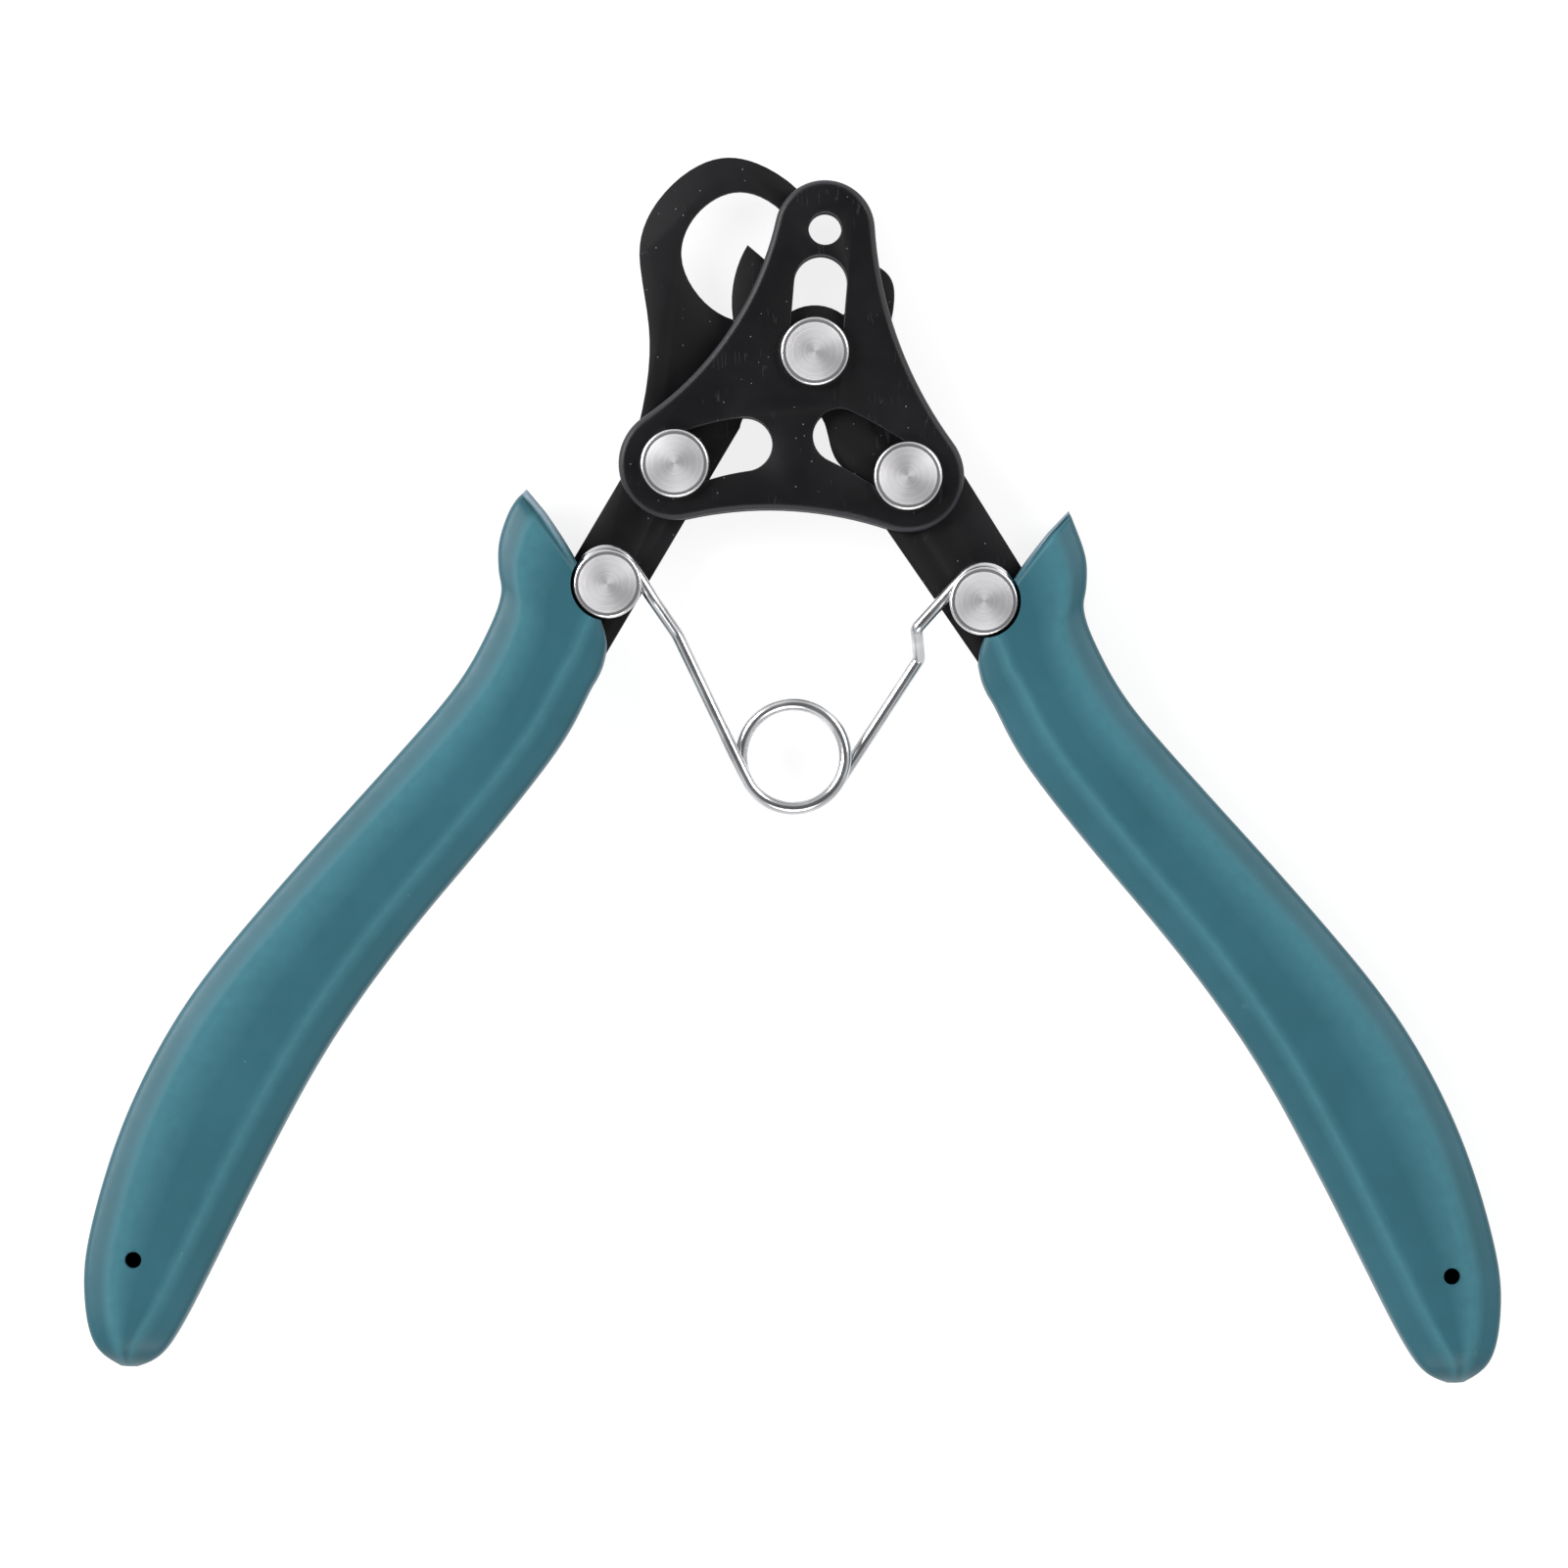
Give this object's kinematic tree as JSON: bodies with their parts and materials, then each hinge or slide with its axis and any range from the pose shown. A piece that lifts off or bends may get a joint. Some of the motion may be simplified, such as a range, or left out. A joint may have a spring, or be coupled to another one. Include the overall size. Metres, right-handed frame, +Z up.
{
  "type": "crimping pliers",
  "caption": "Hand pliers with crossing levers pinned between slotted head plates, a ring-shaped hook and pointed jaw for looping and crimping wire, moulded grips and a coil return spring.",
  "frame": {"origin": "middle of the open tool's outline, on the bench that the grips lie on", "axes": "+Z up out of the bench through the tool's thickness, +X across the handles towards the jaw lever's grip, +Y from the grips towards the jaws"},
  "size_m": [0.1814, 0.157, 0.0126],
  "materials": {
    "black_steel": "black oxide plates with fine scratches",
    "lever_steel": "black oxide levers, satin",
    "turned_steel": "faced on a lathe, with bright bevelled rims",
    "spring_wire": "bright drawn wire",
    "grip_plastic": "satin moulded, blue-green"
  },
  "bodies": {
    "head": {"front_plate": "black_steel", "back_plate": "black_steel"},
    "pivot": {"centre_pin": "turned_steel", "centre_pin_cap": "turned_steel"},
    "left_handle": {"hook_lever": "lever_steel", "left_grip": "grip_plastic", "left_guide_pin": "turned_steel", "left_guide_pin_cap": "turned_steel", "left_guide_spacer": "turned_steel", "left_spring_pin": "turned_steel", "left_spring_pin_cap": "turned_steel"},
    "right_handle": {"jaw_lever": "lever_steel", "right_grip": "grip_plastic", "right_guide_pin": "turned_steel", "right_guide_pin_cap": "turned_steel", "right_guide_spacer": "turned_steel", "right_spring_pin": "turned_steel", "right_spring_pin_cap": "turned_steel"},
    "spring_left": {"spring_left_half": "spring_wire"},
    "spring_right": {"spring_right_half": "spring_wire"}
  },
  "joints": [
    {"name": "pivot_slide", "type": "slide", "parent": "head", "child": "pivot", "axis": [0.0828, 0.9966, 0], "range_m": [0, 0.00548]},
    {"name": "left_handle_swing", "type": "hinge", "parent": "pivot", "child": "left_handle", "pos_m": [0.00285, 0.0535, 0.0063], "axis": [0, 0, 1], "range_deg": [0, 16], "stiffness_Nm_per_rad": 0.5, "springref_deg": -11.46},
    {"name": "right_handle_swing", "type": "hinge", "parent": "pivot", "child": "right_handle", "pos_m": [0.00285, 0.0535, 0.0063], "axis": [0, 0, 1], "range_deg": [-17.96, 0]},
    {"name": "left_spring_leg_swing", "type": "hinge", "parent": "left_handle", "child": "spring_left", "pos_m": [-0.02365, 0.0238, 0.0063], "axis": [0, 0, 1], "range_deg": [-37.73, 0]},
    {"name": "right_spring_leg_swing", "type": "hinge", "parent": "right_handle", "child": "spring_right", "pos_m": [0.02445, 0.0216, 0.0063], "axis": [0, 0, 1], "range_deg": [0, 42.3]}
  ],
  "couplings": [
    {"joint": "pivot_slide", "follows": "left_handle_swing", "m_per_rad": 0.019459},
    {"joint": "right_handle_swing", "follows": "left_handle_swing", "ratio": -1.12},
    {"joint": "left_spring_leg_swing", "follows": "left_handle_swing", "ratio": -2.3519},
    {"joint": "right_spring_leg_swing", "follows": "left_handle_swing", "ratio": 2.6374}
  ]
}
